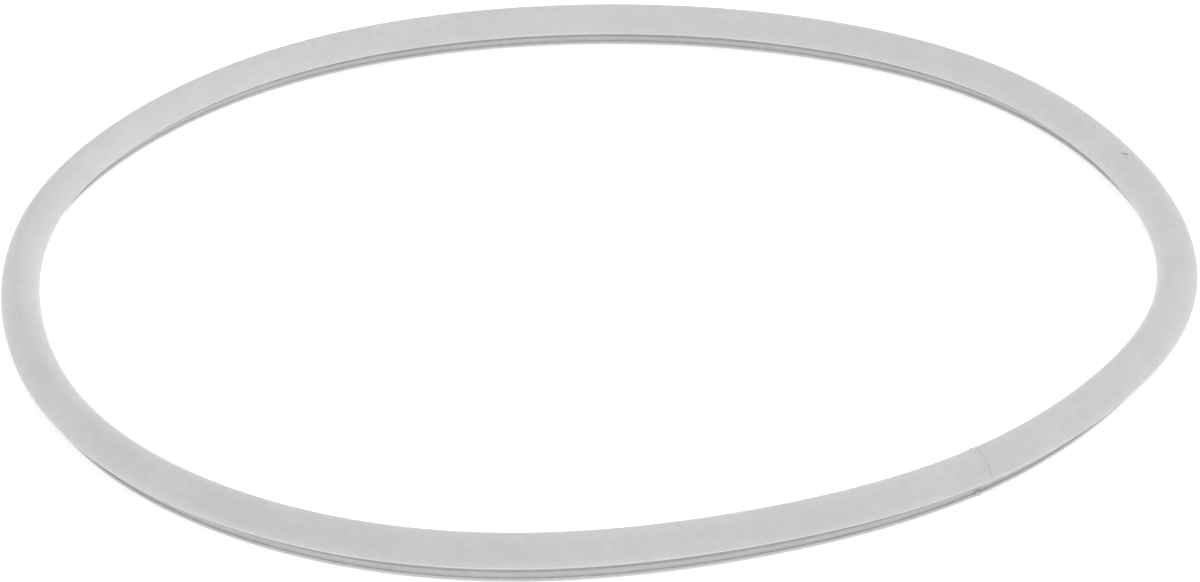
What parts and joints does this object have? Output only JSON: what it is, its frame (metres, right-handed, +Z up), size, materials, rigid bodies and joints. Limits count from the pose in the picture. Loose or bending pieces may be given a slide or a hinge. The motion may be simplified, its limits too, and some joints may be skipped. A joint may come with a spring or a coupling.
{
  "type": "pressure cooker sealing ring",
  "caption": "Silicone sealing ring for the lid of a stovetop pressure cooker: a hoop of mushroom-section strip, butt-spliced, with a domed cap over a narrow foot.",
  "frame": {"origin": "centre of the hoop, on the plane that the foot rests on", "axes": "+Z up along the hoop's axis, from the sole of the foot to the crest of the cap; the splice lies 309 degrees from +X towards +Y"},
  "size_m": [0.3, 0.3, 0.0112],
  "materials": {
    "silicone": "milky translucent silicone rubber, satin, with faint extrusion lines and mottling",
    "bonding_rubber": "slightly clearer and glossier silicone bonding rubber"
  },
  "bodies": {
    "root": {"sealing_ring": "silicone", "splice_bond": "bonding_rubber"}
  },
  "joints": []
}
